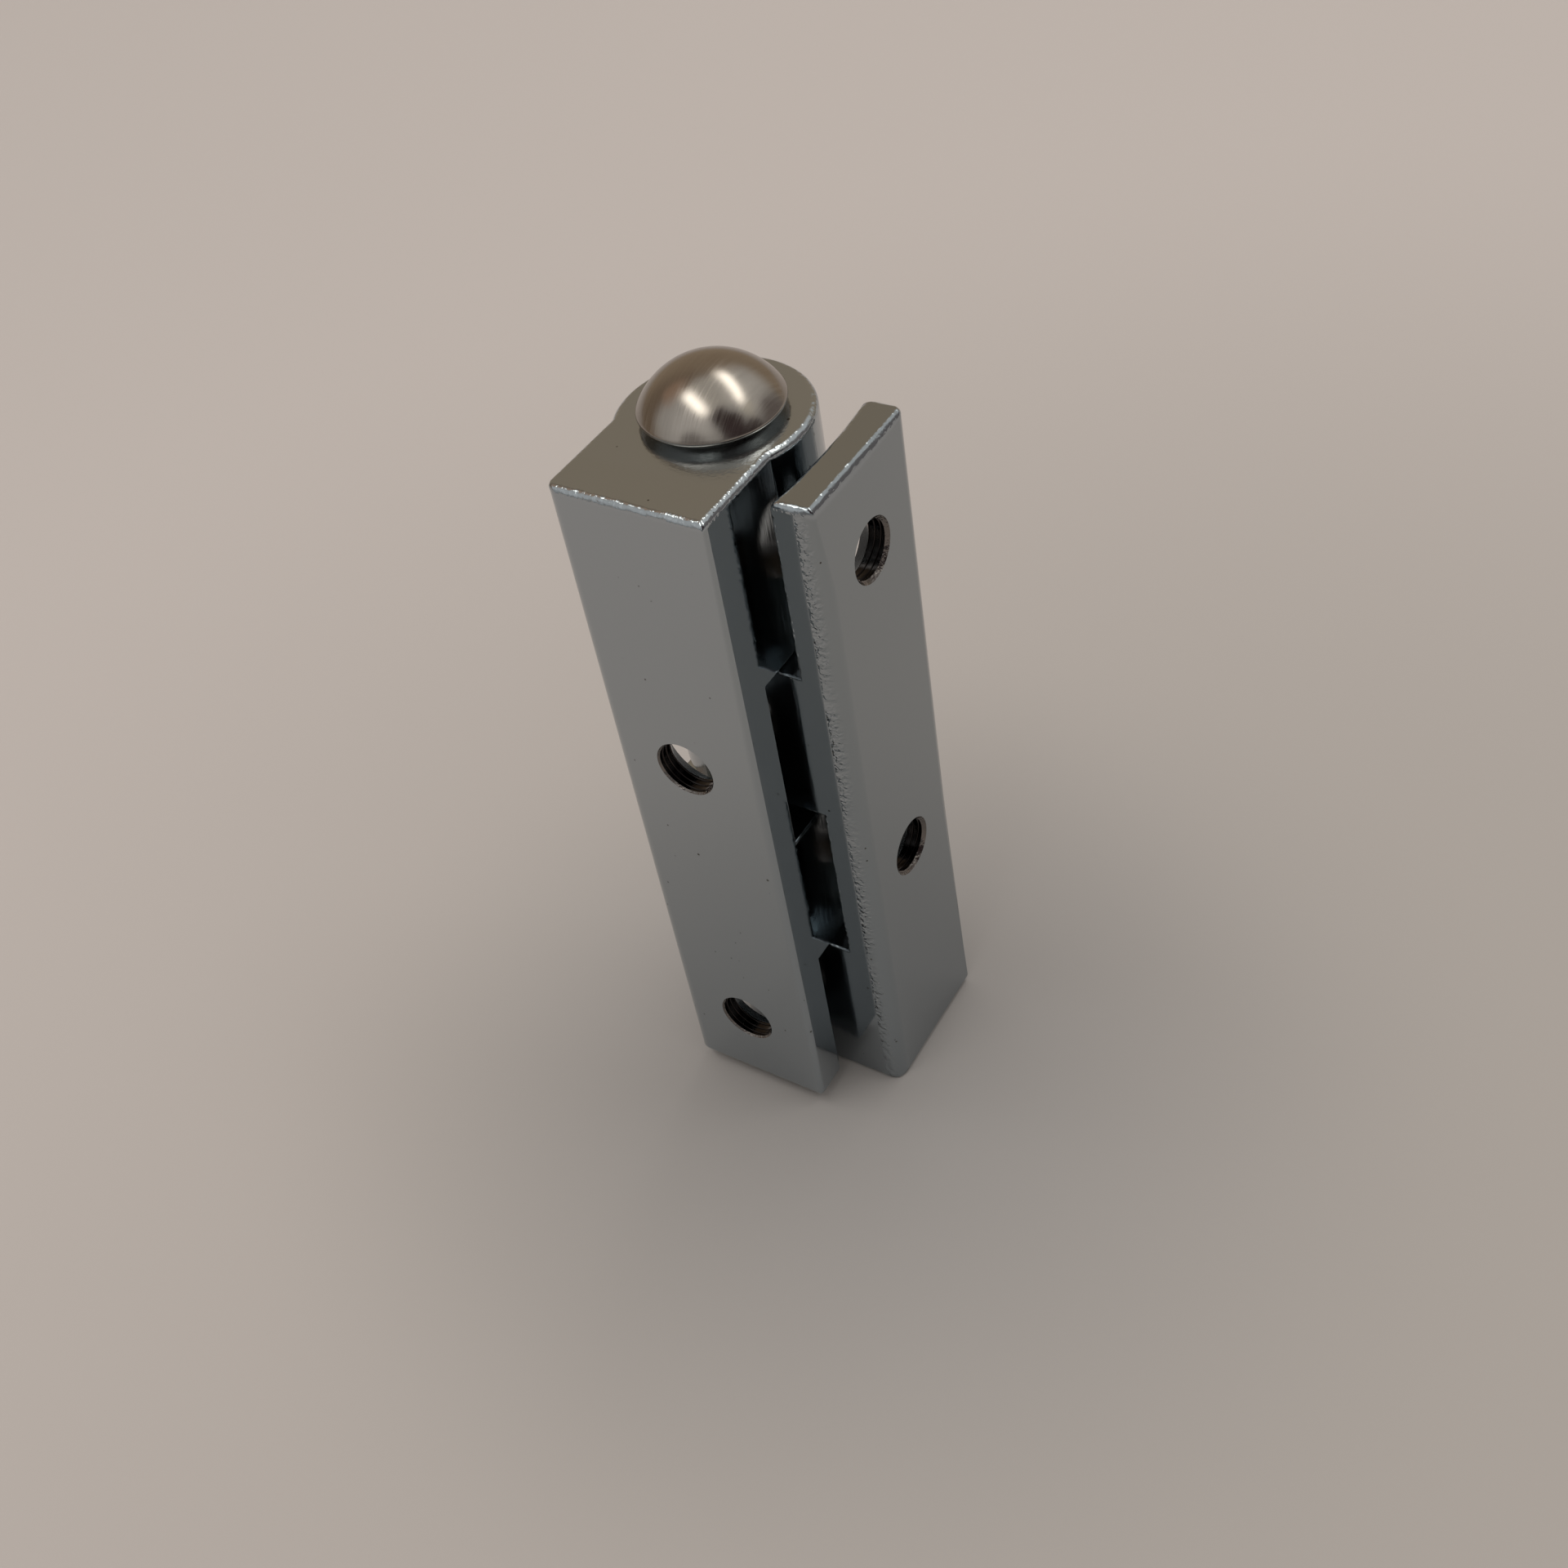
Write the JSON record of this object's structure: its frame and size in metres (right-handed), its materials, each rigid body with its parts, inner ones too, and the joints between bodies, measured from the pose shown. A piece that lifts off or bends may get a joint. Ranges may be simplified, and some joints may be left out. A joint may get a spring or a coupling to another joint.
{
  "type": "concealed hinge",
  "caption": "Concealed cabinet hinge: solid plated leaves with tapped screw holes, interleaved knuckles and a dome-headed pin.",
  "frame": {"origin": "midway between the frame leaf's screw holes, on the frame leaf's mounting face", "axes": "-Y out of the frame leaf's mounting face, +X to the side where the door leaf stands at rest, +Z along the pin towards its domed head"},
  "size_m": [0.0187, 0.0188, 0.0671],
  "materials": {
    "plated_zinc": "bright plating on a die casting",
    "stainless_pin": "turned and satin-brushed"
  },
  "bodies": {
    "frame_leaf": {"frame_leaf": "plated_zinc", "hinge_pin": "stainless_pin"},
    "door_leaf": {"door_leaf": "plated_zinc"}
  },
  "joints": [
    {"name": "leaf_swing", "type": "hinge", "parent": "frame_leaf", "child": "door_leaf", "pos_m": [0, 0.0115, 0], "axis": [0, 0, 1], "range_deg": [-12, 192]}
  ]
}
